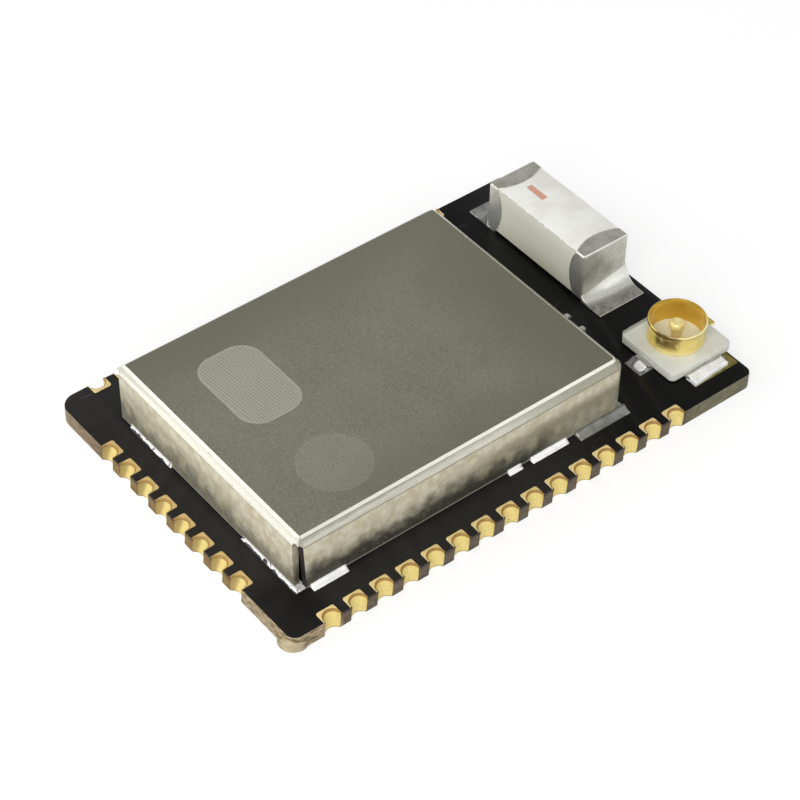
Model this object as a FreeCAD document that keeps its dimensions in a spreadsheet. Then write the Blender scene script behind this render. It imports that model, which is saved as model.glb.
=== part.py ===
"""Castellated radio module: board, shield can, chip antenna and miniature coaxial receptacle.

Frame: origin at the centre of the board's outline, on its underside. +X runs along the board towards the
antenna and the receptacle, +Y across it, +Z out of the component side. All sizes are in millimetres.
"""
import FreeCAD
import Part
import Sketcher
import math
import os

SIZES = {
    # board
    "board_length": 18.9,
    "board_width": 12.8,
    "board_thickness": 0.6,
    "corner_radius": 0.3,
    "worn_corner_radius": 0.6,
    "stub_corner_radius": 0.35,
    "stub_radius": 0.5,
    "stub_offset_x": 0.15,
    "stub_offset_y": 0.05,
    "stub_thickness": 0.35,
    # half-hole contacts
    "pitch": 1.0,
    "long_count": 15,
    "short_count": 8,
    "first_contact_offset": 1.5,
    "hole_radius": 0.3,
    "plating_thickness": 0.03,
    "foil_thickness": 0.03,
    "pad_width": 0.66,
    "pad_depth": 0.47,
    "foot_depth": 0.8,
    # gap that solder fills under every soldered part
    "solder_gap": 0.05,
    # shield can
    "can_left_margin": 1.25,
    "can_right_margin": 4.7,
    "can_near_margin": 1.38,
    "can_far_margin": 1.62,
    "can_depth": 2.14,
    "can_sheet_thickness": 0.25,
    "can_bend_width": 0.27,
    "left_slit_width": 0.33,
    "right_slit_width": 0.1,
    # chip antenna
    "antenna_width": 2.0,
    "antenna_depth": 1.95,
    "antenna_right_margin": 0.27,
    "antenna_far_margin": 1.8,
    "antenna_receptacle_gap": 0.75,
    "terminal_thickness": 0.03,
    "terminal_band_width": 0.38,
    "terminal_bulge_depth": 0.3,
    # coaxial receptacle
    "receptacle_right_margin": 1.2,
    "receptacle_near_margin": 2.52,
    "housing_size": 2.6,
    "housing_depth": 0.35,
    "housing_corner": 0.2,
    "housing_chamfer": 0.16,
    "barrel_height": 1.2,
    "barrel_wall": 0.1,
    "lip_radius": 1.0,
    "waist_radius": 0.92,
    "barrel_foot_radius": 0.96,
    # shares of the barrel's height, from its foot up: foot, slope to the waist, waist, slope to the lip
    "foot_share": 0.42,
    "lower_slope_share": 0.08,
    "waist_share": 0.29,
    "upper_slope_share": 0.08,
    "barrel_notch_width": 1.2,
    "barrel_notch_height": 0.24,
    "leg_thickness": 0.12,
    "leg_width": 1.6,
    "leg_length": 0.28,
    "stub_leg_width": 0.55,
    "stub_leg_length": 0.45,
    "pin_radius": 0.22,
    "pin_height": 1.05,
    "tail_width": 0.66,
    "tail_length": 0.2,
    # solder at the can's feet: margins and gaps along the walls, lengths along them, depths out from them
    "can_joint_height": 0.12,
    "left_near_strip_margin": 0.06,
    "left_near_strip_length": 2.85,
    "left_near_strip_depth": 0.09,
    "left_far_strip_margin": 0.85,
    "left_far_strip_length": 2.25,
    "left_far_strip_depth": 0.09,
    "near_corner_strip_margin": 0.45,
    "near_corner_strip_length": 1.33,
    "near_corner_strip_depth": 0.2,
    "near_spot_gap": 0.4,
    "near_spot_length": 0.54,
    "near_spot_depth": 0.13,
    "near_middle_strip_gap": 0.37,
    "near_middle_strip_length": 1.5,
    "near_middle_strip_depth": 0.17,
    "near_patch_overhang": 0.2,
    "near_patch_length": 2.11,
    "near_patch_depth": 0.33,
    "far_strip_margin": 3.0,
    "far_strip_length": 6.0,
    "far_strip_depth": 0.15,
    # solder elsewhere
    "joint_lip_height": 0.02,
    "joint_under_depth": 0.35,
    "antenna_joint_depth": 1.0,
    "antenna_joint_height": 0.7,
    "antenna_joint_radius": 0.9,
    "signal_joint_width": 0.77,
    "signal_joint_depth": 0.4,
    "ground_joint_width": 1.95,
    "ground_joint_offset": 0.17,
    "near_ground_joint_depth": 0.39,
    "far_ground_joint_depth": 0.2,
    "leg_joint_height": 0.1,
    # small chip part beside the can
    "chip_length": 1.1,
    "chip_width": 0.5,
    "chip_depth": 0.35,
    "chip_cap_length": 0.25,
    "chip_step_height": 0.02,
    "chip_can_gap": 1.35,
    "chip_near_margin": 5.27,
    # radio chip under the can
    "radio_size": 7.0,
    "radio_depth": 0.94,
}

doc = FreeCAD.newDocument("wifi_module")
sheet = doc.addObject("Spreadsheet::Sheet", "Sizes")
nodes = []


class Size:
    """A length worked out twice: as a number, and as the sheet expression that gives it."""

    def __init__(self, value, text):
        self.value = value
        self.text = text

    def join(self, other, sign, value):
        other_text = other.text if isinstance(other, Size) else repr(other)
        return Size(value, "(" + self.text + " " + sign + " " + other_text + ")")

    def __add__(self, other):
        return self.join(other, "+", self.value + number(other))

    def __sub__(self, other):
        return self.join(other, "-", self.value - number(other))

    def __mul__(self, other):
        return self.join(other, "*", self.value * number(other))

    def __truediv__(self, other):
        return self.join(other, "/", self.value / number(other))

    def __neg__(self):
        return Size(-self.value, "(0 - " + self.text + ")")


def number(value):
    return value.value if isinstance(value, Size) else value


def fill_sheet():
    """One row for each driving size: its name, and its value under that alias."""
    for row, (name, value) in enumerate(SIZES.items(), start=1):
        sheet.set(f"A{row}", name)
        sheet.set(f"B{row}", str(value))
        sheet.setAlias(f"B{row}", name)
    doc.recompute()


def size(name):
    return Size(float(sheet.get(name)), "Sizes." + name)


ZERO = Size(0.0, "0")
NEAR_ENOUGH = 1e-6


def bind(item, path, value):
    item.setExpression(path, value.text)


def place(item, x, y, z, turn=0.0):
    """Puts an object at x, y, z, turned about +Z by a fixed number of degrees."""
    item.Placement = FreeCAD.Placement(
        FreeCAD.Vector(x.value, y.value, z.value), FreeCAD.Rotation(FreeCAD.Vector(0, 0, 1), turn))
    bind(item, "Placement.Base.x", x)
    bind(item, "Placement.Base.y", y)
    bind(item, "Placement.Base.z", z)


def keep(item, name):
    """Makes an object a node of the part, under this name."""
    item.Label = name
    nodes.append(item)
    return item


def new_body(name):
    return doc.addObject("PartDesign::Body", name)


def origin_item(body, role):
    return next(item for item in body.Origin.OriginFeatures if item.Role == role)


def new_sketch(body, role="XY_Plane", height=ZERO):
    """A sketch on one of the body's own origin planes, lifted along that plane's normal."""
    sketch = body.newObject("Sketcher::SketchObject", body.Name + "_sketch")
    sketch.AttachmentSupport = [(origin_item(body, role), "")]
    sketch.MapMode = "FlatFace"
    bind(sketch, "AttachmentOffset.Base.z", height)
    return sketch


def pin_vertex(sketch, edge, end, x, y):
    """Holds one end of an edge at x, y from the sketch's origin."""
    for kind, path, value in (("DistanceX", "x", x), ("DistanceY", "y", y)):
        index = sketch.addConstraint(Sketcher.Constraint(kind, -1, 1, edge, end, value.value))
        name = f"{path}{index}"
        sketch.renameConstraint(index, name)
        bind(sketch, "Constraints." + name, value)


def outline(sketch, points, arcs=None):
    """A closed outline through points; arcs gives some edges a radius, centre on the edge's left or right."""
    arcs = arcs or {}
    for index, start in enumerate(points):
        finish = points[(index + 1) % len(points)]
        first = FreeCAD.Vector(start[0].value, start[1].value, 0)
        last = FreeCAD.Vector(finish[0].value, finish[1].value, 0)
        if index in arcs:
            radius, side = arcs[index]
            sketch.addGeometry(arc_edge(first, last, radius.value, side), False)
        else:
            sketch.addGeometry(Part.LineSegment(first, last), False)
    ends = [edge_ends(arcs.get(index)) for index in range(len(points))]
    for index in range(len(points)):
        following = (index + 1) % len(points)
        meeting = (index, ends[index][1], following, ends[following][0])
        sketch.addConstraint(Sketcher.Constraint("Coincident", *meeting))
    for index, (x, y) in enumerate(points):
        pin_vertex(sketch, index, ends[index][0], x, y)
    for index, (radius, side) in arcs.items():
        constraint = sketch.addConstraint(Sketcher.Constraint("Radius", index, radius.value))
        sketch.renameConstraint(constraint, f"bend{constraint}")
        bind(sketch, f"Constraints.bend{constraint}", radius)


def edge_ends(arc):
    """Start and end vertex numbers of an edge, in the outline's direction: an arc runs anticlockwise."""
    return (2, 1) if arc and arc[1] == "right" else (1, 2)


def arc_edge(first, last, radius, side):
    """The short arc from first to last whose centre is on the left or the right of that direction."""
    chord = last - first
    middle = (first + last) * 0.5
    across = FreeCAD.Vector(-chord.y, chord.x, 0).normalize()
    rise = math.sqrt(radius ** 2 - (chord.Length / 2) ** 2)
    centre = middle + across * (rise if side == "left" else -rise)
    start, finish = (first, last) if side == "left" else (last, first)
    start_angle = math.atan2(start.y - centre.y, start.x - centre.x)
    finish_angle = math.atan2(finish.y - centre.y, finish.x - centre.x)
    circle = Part.Circle(centre, FreeCAD.Vector(0, 0, 1), radius)
    return Part.ArcOfCircle(circle, start_angle, finish_angle)


def box_outline(sketch, left, right, near, far):
    outline(sketch, [(left, near), (right, near), (right, far), (left, far)])


def circle_outline(sketch, x, y, radius):
    centre = FreeCAD.Vector(x.value, y.value, 0)
    sketch.addGeometry(Part.Circle(centre, FreeCAD.Vector(0, 0, 1), radius.value), False)
    pin_vertex(sketch, 0, 3, x, y)
    constraint = sketch.addConstraint(Sketcher.Constraint("Radius", 0, radius.value))
    sketch.renameConstraint(constraint, "radius")
    bind(sketch, "Constraints.radius", radius)


def pad(body, sketch, length, both_ways=False):
    feature = body.newObject("PartDesign::Pad", body.Name + "_pad")
    feature.Profile = sketch
    feature.Midplane = both_ways
    bind(feature, "Length", length)
    doc.recompute()
    return feature


def pocket(body, sketch, length):
    """Cuts from the sketch plane upwards, along the plane's normal."""
    before = body.Shape.Volume
    feature = body.newObject("PartDesign::Pocket", body.Name + "_pocket")
    feature.Profile = sketch
    feature.Reversed = True
    bind(feature, "Length", length)
    doc.recompute()
    if not body.Shape.Volume < before:
        raise RuntimeError(f"a pocket of {body.Name} cuts nothing")
    return feature


def revolve(body, sketch, role):
    """Turns a sketch a full turn about one of the body's own axes."""
    feature = body.newObject("PartDesign::Revolution", body.Name + "_turned")
    feature.Profile = sketch
    feature.ReferenceAxis = (origin_item(body, role), [""])
    feature.Angle = 360
    doc.recompute()
    return feature


def dress(body, kind, radius, picks):
    """A fillet or chamfer on those edges of the body's tip whose middle point picks accepts."""
    tip = body.Tip
    names = [f"Edge{index}" for index, edge in enumerate(tip.Shape.Edges, start=1) if picks(edge)]
    if not names:
        raise RuntimeError(f"no edge of {body.Name} to dress")
    feature = body.newObject("PartDesign::" + kind, body.Name + "_" + kind.lower())
    feature.Base = (tip, names)
    bind(feature, "Radius" if kind == "Fillet" else "Size", radius)
    doc.recompute()
    return feature


def edge_middle(edge):
    return edge.valueAt((edge.FirstParameter + edge.LastParameter) / 2)


def is_upright(edge):
    first, last = edge.Vertexes[0].Point, edge.Vertexes[-1].Point
    sideways = math.hypot(first.x - last.x, first.y - last.y)
    return sideways < NEAR_ENOUGH < abs(first.z - last.z)


def upright_at(right=None, far=None):
    """Accepts upright edges on the chosen side of the body's own axes."""
    def picks(edge):
        middle = edge_middle(edge)
        sided_x = right is None or (middle.x > 0) == right
        sided_y = far is None or (middle.y > 0) == far
        return is_upright(edge) and sided_x and sided_y
    return picks


def repeat(body, features, role, spacing, count):
    """Repeats features along one of the body's own axes."""
    pattern = body.newObject("PartDesign::LinearPattern", body.Name + "_row")
    pattern.Originals = features
    pattern.Direction = (origin_item(body, role), [""])
    bind(pattern, "Occurrences", count)
    bind(pattern, "Length", spacing * (count - 1))
    body.Tip = pattern
    doc.recompute()
    return pattern


def contact_rows():
    """For each row of contacts: its first hole, the axis it follows, its count and its inward turn."""
    edge_x = size("board_length") / 2
    edge_y = size("board_width") / 2
    first_x = size("first_contact_offset") - edge_x
    first_y = -(size("pitch") * (size("short_count") - 1) / 2)
    return [
        (first_x, -edge_y, "X_Axis", size("long_count"), 0.0),
        (first_x, edge_y, "X_Axis", size("long_count"), 180.0),
        (-edge_x, first_y, "Y_Axis", size("short_count"), -90.0),
    ]


def foot_recess(x, y, turn):
    """Left, right, near and far sides of the recess that takes a contact's foot."""
    half = size("pad_width") / 2
    depth = size("foot_depth")
    if turn == 0.0:
        return x - half, x + half, y, y + depth
    if turn == 180.0:
        return x - half, x + half, y - depth, y
    return x, x + depth, y - half, y + half


def circuit_board():
    """Laminate with drilled half-holes on three sides and a worn tab stub at the near left corner."""
    body = keep(new_body("circuit_board"), "circuit_board")
    half_x = size("board_length") / 2
    half_y = size("board_width") / 2
    sketch = new_sketch(body)
    box_outline(sketch, -half_x, half_x, -half_y, half_y)
    pad(body, sketch, size("board_thickness"))
    dress(body, "Fillet", size("worn_corner_radius"), upright_at(right=False, far=True))
    dress(body, "Fillet", size("stub_corner_radius"), upright_at(right=False, far=False))
    dress(body, "Fillet", size("corner_radius"), upright_at(right=True))
    stub = new_sketch(body)
    stub_x = size("stub_radius") - size("stub_offset_x") - half_x
    stub_y = size("stub_radius") - size("stub_offset_y") - half_y
    circle_outline(stub, stub_x, stub_y, size("stub_radius"))
    pad(body, stub, size("stub_thickness"))
    drill_radius = size("hole_radius") + size("plating_thickness")
    for x, y, role, count, turn in contact_rows():
        hole = new_sketch(body)
        circle_outline(hole, x, y, drill_radius)
        drilled = pocket(body, hole, size("board_thickness"))
        recess = new_sketch(body)
        box_outline(recess, *foot_recess(x, y, turn))
        sunk = pocket(body, recess, size("foil_thickness"))
        repeat(body, [drilled, sunk], role, size("pitch"), count)


def contact_form():
    """One plated half-hole: a pad on top, a foot below and the barrel wall between them."""
    body = new_body("contact_form")
    half = size("pad_width") / 2
    drill_radius = size("hole_radius") + size("plating_thickness")
    height = size("board_thickness") + size("foil_thickness")
    top = new_sketch(body, height=size("board_thickness"))
    box_outline(top, -half, half, ZERO, size("pad_depth"))
    pad(body, top, size("foil_thickness"))
    wall = new_sketch(body)
    outline(wall, [(drill_radius, ZERO), (ZERO, drill_radius), (-drill_radius, ZERO)],
            {0: (drill_radius, "left"), 1: (drill_radius, "left")})
    pad(body, wall, height)
    foot = new_sketch(body)
    box_outline(foot, -half, half, ZERO, size("foot_depth"))
    pad(body, foot, size("foil_thickness"))
    bore = new_sketch(body)
    circle_outline(bore, ZERO, ZERO, size("hole_radius"))
    pocket(body, bore, height)
    return body


def contacts():
    """Every contact is the one form, set down at each half-hole."""
    form = contact_form()
    index = 0
    for x, y, role, count, turn in contact_rows():
        for step in range(int(count.value)):
            index += 1
            contact = doc.addObject("Part::Compound", f"contact_{index:02d}")
            contact.Links = [form]
            along = size("pitch") * step
            if role == "X_Axis":
                place(contact, x + along, y, ZERO, turn)
            else:
                place(contact, x, y + along, ZERO, turn)
            keep(contact, f"contact_{index:02d}")


def can_left():
    return size("can_left_margin") - size("board_length") / 2


def can_near():
    return size("can_near_margin") - size("board_width") / 2


def can_length():
    return size("board_length") - size("can_left_margin") - size("can_right_margin")


def can_width():
    return size("board_width") - size("can_near_margin") - size("can_far_margin")


def seat_height():
    """Height of the undersides of the soldered parts."""
    return size("board_thickness") + size("solder_gap")


def shield_can():
    """Sheet box, open below: flat bends round its lid, and slits at the corners that reach into the bends."""
    body = keep(new_body("shield_can"), "shield_can")
    half_x = can_length() / 2
    half_y = can_width() / 2
    sheet_gauge = size("can_sheet_thickness")
    blank = new_sketch(body)
    box_outline(blank, -half_x, half_x, -half_y, half_y)
    pad(body, blank, size("can_depth"))
    top = size("can_depth").value
    dress(body, "Chamfer", size("can_bend_width"), lambda edge: edge_middle(edge).z > top - NEAR_ENOUGH)
    hollow = new_sketch(body)
    inner_x = half_x - sheet_gauge
    inner_y = half_y - sheet_gauge
    box_outline(hollow, -inner_x, inner_x, -inner_y, inner_y)
    pocket(body, hollow, size("can_depth") - sheet_gauge)
    slit_top = size("can_depth") - size("can_bend_width") / 2
    left, right = size("left_slit_width"), size("right_slit_width")
    gap_near, gap_far = sheet_gauge - half_y, sheet_gauge + right - half_y
    slits = [
        (-half_x, left - half_x, -half_y, left - half_y),
        (-half_x, left - half_x, half_y - left, half_y),
        (inner_x, half_x, gap_near, gap_far),
        (inner_x, half_x, -gap_far, -gap_near),
    ]
    for sides in slits:
        slit = new_sketch(body)
        box_outline(slit, *sides)
        pocket(body, slit, slit_top)
    place(body, can_left() + half_x, can_near() + half_y, seat_height())


def antenna_ends():
    """Near and far ends of the antenna: it fills the room from the receptacle's solder to the far margin."""
    x, y = receptacle_centre()
    solder_tip = y + size("housing_size") / 2 + size("leg_length") + size("far_ground_joint_depth")
    near = solder_tip + size("antenna_receptacle_gap") + size("antenna_joint_depth")
    return near, size("board_width") / 2 - size("antenna_far_margin")


def antenna_length():
    near, far = antenna_ends()
    return far - near


def antenna_centre():
    near, far = antenna_ends()
    x = size("board_length") / 2 - size("antenna_right_margin") - size("antenna_width") / 2
    return x, (near + far) / 2


def antenna_block():
    body = keep(new_body("antenna_block"), "antenna_block")
    skin = size("terminal_thickness")
    half_x = size("antenna_width") / 2 - skin
    half_y = antenna_length() / 2 - skin
    sketch = new_sketch(body, height=skin)
    box_outline(sketch, -half_x, half_x, -half_y, half_y)
    pad(body, sketch, size("antenna_depth") - skin * 2)
    x, y = antenna_centre()
    place(body, x, y, seat_height())


def antenna_terminal(name, turn):
    """Plated cap over one end of the block, with bands that swell towards the middle of each face."""
    body = keep(new_body(name), name)
    skin = size("terminal_thickness")
    end = -(antenna_length() / 2)
    half_x = size("antenna_width") / 2
    band = end + size("terminal_band_width")
    crown = band + size("terminal_bulge_depth")
    middle = size("antenna_depth") / 2
    plan = new_sketch(body)
    plan_radius = swell_radius(half_x)
    outline(plan, [(-half_x, end), (half_x, end), (half_x, band), (ZERO, crown), (-half_x, band)],
            {2: (plan_radius, "left"), 3: (plan_radius, "left")})
    pad(body, plan, size("antenna_depth"))
    side = new_sketch(body, role="YZ_Plane")
    side_radius = swell_radius(middle)
    outline(side, [(end, ZERO), (band, ZERO), (crown, middle), (band, size("antenna_depth")),
                   (end, size("antenna_depth"))],
            {1: (side_radius, "left"), 2: (side_radius, "left")})
    pad(body, side, half_x * 2, both_ways=True)
    cavity = new_sketch(body, height=skin)
    box_outline(cavity, skin - half_x, half_x - skin, end + skin, crown + skin)
    pocket(body, cavity, size("antenna_depth") - skin * 2)
    x, y = antenna_centre()
    place(body, x, y, seat_height(), turn)


def swell_radius(half_chord):
    """Radius of the arc that rises by terminal_bulge_depth over this half chord."""
    bulge = size("terminal_bulge_depth")
    return (half_chord * half_chord + bulge * bulge) / (bulge * 2)


def receptacle_centre():
    x = size("board_length") / 2 - size("receptacle_right_margin")
    y = size("receptacle_near_margin") - size("board_width") / 2
    return x, y


def barrel_profile(sketch):
    """Half section of the barrel: foot, waist and lip outside, a bore that widens behind the lip inside."""
    wall, top = size("barrel_wall"), size("barrel_height")
    foot, waist, lip = size("barrel_foot_radius"), size("waist_radius"), size("lip_radius")
    foot_top = top * size("foot_share")
    waist_bottom = foot_top + top * size("lower_slope_share")
    waist_top = waist_bottom + top * size("waist_share")
    lip_bottom = waist_top + top * size("upper_slope_share")
    crown = top - wall / 2
    outside = [(foot, ZERO), (foot, foot_top), (waist, waist_bottom), (waist, waist_top), (lip, lip_bottom),
               (lip, crown)]
    inside = [(lip - wall, crown), (lip - wall, lip_bottom), (waist - wall, waist_top), (waist - wall, ZERO)]
    outline(sketch, outside + [(lip - wall / 2, top)] + inside)


def connector_shell():
    """Turned barrel, notched for the signal tail, on ground legs that leave the housing on three sides."""
    body = keep(new_body("connector_shell"), "connector_shell")
    profile = new_sketch(body, role="XZ_Plane")
    barrel_profile(profile)
    revolve(body, profile, "Z_Axis")
    edge = size("housing_size") / 2
    root = size("barrel_foot_radius") - size("barrel_wall") / 2
    tip = edge + size("leg_length")
    half_leg, half_stub = size("leg_width") / 2, size("stub_leg_width") / 2
    legs = [
        (-half_leg, half_leg, -tip, -root),
        (-half_leg, half_leg, root, tip),
        (root, edge + size("stub_leg_length"), -half_stub, half_stub),
    ]
    for sides in legs:
        leg = new_sketch(body)
        box_outline(leg, *sides)
        pad(body, leg, size("leg_thickness"))
    half_notch = size("barrel_notch_width") / 2
    notch = new_sketch(body)
    box_outline(notch, -edge, ZERO, -half_notch, half_notch)
    pocket(body, notch, size("barrel_notch_height"))
    place(body, *receptacle_centre(), seat_height())
    return body


def connector_pin():
    """Centre pin with a bevelled tip, on the tail that leaves the housing towards the can."""
    body = keep(new_body("connector_pin"), "connector_pin")
    radius, height = size("pin_radius"), size("pin_height")
    bevel = radius / 3
    profile = new_sketch(body, role="XZ_Plane")
    outline(profile, [(ZERO, ZERO), (radius, ZERO), (radius, height - bevel), (radius - bevel, height),
                      (ZERO, height)])
    revolve(body, profile, "Z_Axis")
    half = size("tail_width") / 2
    tail = new_sketch(body)
    box_outline(tail, -(size("housing_size") / 2 + size("tail_length")), ZERO, -half, half)
    pad(body, tail, size("leg_thickness"))
    place(body, *receptacle_centre(), seat_height())
    return body


def connector_housing(shell, pin):
    """Moulded plate around the shell and the pin, with one corner cut off more than the others."""
    blank = new_body("housing_blank")
    half = size("housing_size") / 2
    sketch = new_sketch(blank)
    box_outline(sketch, -half, half, -half, half)
    pad(blank, sketch, size("housing_depth"))
    dress(blank, "Chamfer", size("housing_chamfer"), upright_at(right=False, far=True))
    dress(blank, "Fillet", size("housing_corner"),
          lambda edge: upright_at()(edge) and (edge_middle(edge).x > 0 or edge_middle(edge).y < 0))
    place(blank, *receptacle_centre(), seat_height())
    without_shell = doc.addObject("Part::Cut", "housing_without_shell")
    without_shell.Base = blank
    without_shell.Tool = shell
    housing = doc.addObject("Part::Cut", "connector_housing")
    housing.Base = without_shell
    housing.Tool = pin
    keep(housing, "connector_housing")


def solder_joint(name, width, depth, height, radius, x, y, turn):
    """Tinned pad under a part's edge with a concave fillet up its face.

    In the joint's own frame the face stands at x = 0 and the solder lies on its +X side, width wide along Y.
    """
    body = keep(new_body(name), name)
    gap, lip, under = size("solder_gap"), size("joint_lip_height"), size("joint_under_depth")
    profile = new_sketch(body, role="XZ_Plane")
    points = [(-under, ZERO), (depth, ZERO), (depth, lip), (ZERO, gap + height), (ZERO, gap), (-under, gap)]
    outline(profile, points, {2: (radius, "right")})
    pad(body, profile, width, both_ways=True)
    place(body, x, y, size("board_thickness"), turn)


def can_joint_starts():
    """Where each strip of solder starts, along its wall from the can's left or near corner."""
    patch = can_length() + size("near_patch_overhang") - size("near_patch_length")
    middle = patch - size("near_middle_strip_gap") - size("near_middle_strip_length")
    return {
        "left_near_strip": size("left_near_strip_margin"),
        "left_far_strip": can_width() - size("left_far_strip_margin") - size("left_far_strip_length"),
        "near_corner_strip": size("near_corner_strip_margin"),
        "near_spot": middle - size("near_spot_gap") - size("near_spot_length"),
        "near_middle_strip": middle,
        "near_patch": patch,
        "far_strip": size("far_strip_margin"),
    }


def can_joints():
    """Solder where the can's feet meet tinned pads: two on the left wall, four near and one far."""
    left, near = can_left(), can_near()
    far = near + can_width()
    for index, (strip, start) in enumerate(can_joint_starts().items(), start=1):
        length, depth = size(strip + "_length"), size(strip + "_depth")
        middle = start + length / 2
        spot = {
            "left": (left, near + middle, 180.0),
            "near": (left + middle, near, -90.0),
            "far": (left + middle, far, 90.0),
        }[strip.split("_")[0]]
        solder_joint(f"can_joint_{index:02d}", length, depth, size("can_joint_height"), depth * 2, *spot)


def antenna_joints():
    """A tinned pad and a tall concave fillet at each end of the antenna."""
    x, y = antenna_centre()
    half = antenna_length() / 2
    shape = [size("antenna_" + name) for name in ("width", "joint_depth", "joint_height", "joint_radius")]
    solder_joint("antenna_joint_near", *shape, x, y - half, -90.0)
    solder_joint("antenna_joint_far", *shape, x, y + half, 90.0)


def connector_joints():
    """Solder under and in front of the signal tail and the two ground legs."""
    x, y = receptacle_centre()
    half = size("housing_size") / 2
    height = size("leg_joint_height")
    depth = size("signal_joint_depth")
    tail_tip = x - half - size("tail_length")
    solder_joint("signal_joint", size("signal_joint_width"), depth, height, depth, tail_tip, y, 180.0)
    shifted = x + size("ground_joint_offset")
    leg_tip = half + size("leg_length")
    width = size("ground_joint_width")
    near, far = size("near_ground_joint_depth"), size("far_ground_joint_depth")
    solder_joint("ground_joint_near", width, near, height, near * 2, shifted, y - leg_tip, -90.0)
    solder_joint("ground_joint_far", width, far, height, far * 2, shifted, y + leg_tip, 90.0)


def small_chip():
    """Two-terminal chip part lying across the board, beside the can: a body between slightly larger caps."""
    body = keep(new_body("small_chip"), "small_chip")
    half_x, half_y = size("chip_width") / 2, size("chip_length") / 2
    step = size("chip_step_height")
    core = new_sketch(body)
    box_outline(core, step - half_x, half_x - step, -half_y, half_y)
    pad(body, core, size("chip_depth") - step)
    cap_end = half_y - size("chip_cap_length")
    for near, far in ((-half_y, -cap_end), (cap_end, half_y)):
        cap = new_sketch(body)
        box_outline(cap, -half_x, half_x, near, far)
        pad(body, cap, size("chip_depth"))
    x = can_left() + can_length() + size("chip_can_gap")
    place(body, x, size("chip_near_margin") - size("board_width") / 2, size("board_thickness"))


def radio_chip():
    """The chip that the can covers."""
    body = keep(new_body("radio_chip"), "radio_chip")
    half = size("radio_size") / 2
    sketch = new_sketch(body)
    box_outline(sketch, -half, half, -half, half)
    pad(body, sketch, size("radio_depth"))
    middle_x, middle_y = can_left() + can_length() / 2, can_near() + can_width() / 2
    place(body, middle_x, middle_y, size("board_thickness"))


def check_document():
    """Stops before anything is written if an object failed or a node has no sound shape."""
    doc.recompute()
    failed = [item.Name for item in doc.Objects if {"Invalid", "Error"} & set(item.State)]
    failed += [item.Label for item in nodes if item.Shape.isNull() or not item.Shape.isValid()]
    if failed:
        raise RuntimeError("these did not build: " + ", ".join(failed))


def write_parts():
    os.makedirs("parts", exist_ok=True)
    for item in nodes:
        item.Shape.exportStep(os.path.join("parts", item.Label + ".step"))


fill_sheet()
circuit_board()
contacts()
shield_can()
antenna_block()
antenna_terminal("antenna_terminal_near", 0.0)
antenna_terminal("antenna_terminal_far", 180.0)
connector_housing(connector_shell(), connector_pin())
can_joints()
antenna_joints()
connector_joints()
small_chip()
radio_chip()
check_document()
write_parts()
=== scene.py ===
"""Looks of a small radio module: board with plated half-holes, shield can, chip antenna and receptacle."""

import math

import bmesh
import bpy
from mathutils import Matrix, Vector


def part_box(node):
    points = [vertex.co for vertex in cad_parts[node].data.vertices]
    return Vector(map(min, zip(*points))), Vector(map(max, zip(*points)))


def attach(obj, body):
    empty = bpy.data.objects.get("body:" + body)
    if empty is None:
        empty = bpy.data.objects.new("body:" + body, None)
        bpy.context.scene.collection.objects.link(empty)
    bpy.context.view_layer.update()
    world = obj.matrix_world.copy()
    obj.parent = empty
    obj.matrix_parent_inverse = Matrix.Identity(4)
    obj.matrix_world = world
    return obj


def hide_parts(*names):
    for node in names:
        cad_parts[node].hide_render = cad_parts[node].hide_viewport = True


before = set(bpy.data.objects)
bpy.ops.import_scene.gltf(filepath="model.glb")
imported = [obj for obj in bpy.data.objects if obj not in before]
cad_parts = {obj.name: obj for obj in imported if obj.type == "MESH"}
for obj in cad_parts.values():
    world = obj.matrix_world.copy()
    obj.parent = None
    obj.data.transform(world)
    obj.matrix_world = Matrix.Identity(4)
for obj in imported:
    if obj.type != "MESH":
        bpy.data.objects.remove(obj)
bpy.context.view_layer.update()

# Pieces are modelled in millimetres and end in metres.
UNIT = 0.001

# Board
BOARD_TOP = 0.6
STUB_TOP = 0.35
LONG_SIDE = 9.45
SHORT_SIDE = 6.4

# Plated half-holes
PITCH = 1.0
LONG_FIRST = -7.95
LONG_COUNT = 15
SHORT_FIRST = -3.5
SHORT_COUNT = 8
PAD_HALF = 0.33
PAD_DEPTH = 0.44
PAD_CORNER = 0.07
BORE_TOP = (0.02, 0.03, 0.28)
BORE_FOOT = (-0.03, -0.15, 0.315)
PAD_TOP = 0.63
FOOT_DEPTH = 0.8
FOOT_TOP = 0.03

# Shield can
CAN_LOW = (-8.2, -5.02, 0.65)
CAN_HIGH = (4.85, 4.78, 2.79)
CAN_SHEET = 0.24
CAN_CORNER = 0.35
CAN_BEND = 0.27
CREASE = 2.5
CREASE_DEPTH = 0.03
SLIT_WIDTH = 0.35
SLIT_DEPTH = 0.29
SLIT_TOP = 2.6

# Chip antenna
ANTENNA_LOW = (7.18, -0.35, 0.65)
ANTENNA_HIGH = (9.18, 4.6, 2.6)
MARK_CENTRE = (8.155, 3.22)

# Solder ramp of the antenna's near joint, with its climb at its left and right sides
RAMP_BOX = ((7.18, -1.35, 0.6), (9.18, -0.33, 0.66))
RAMP_CLIMB = (0.2, 0.66)
RAMP_ROWS = 12

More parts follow.
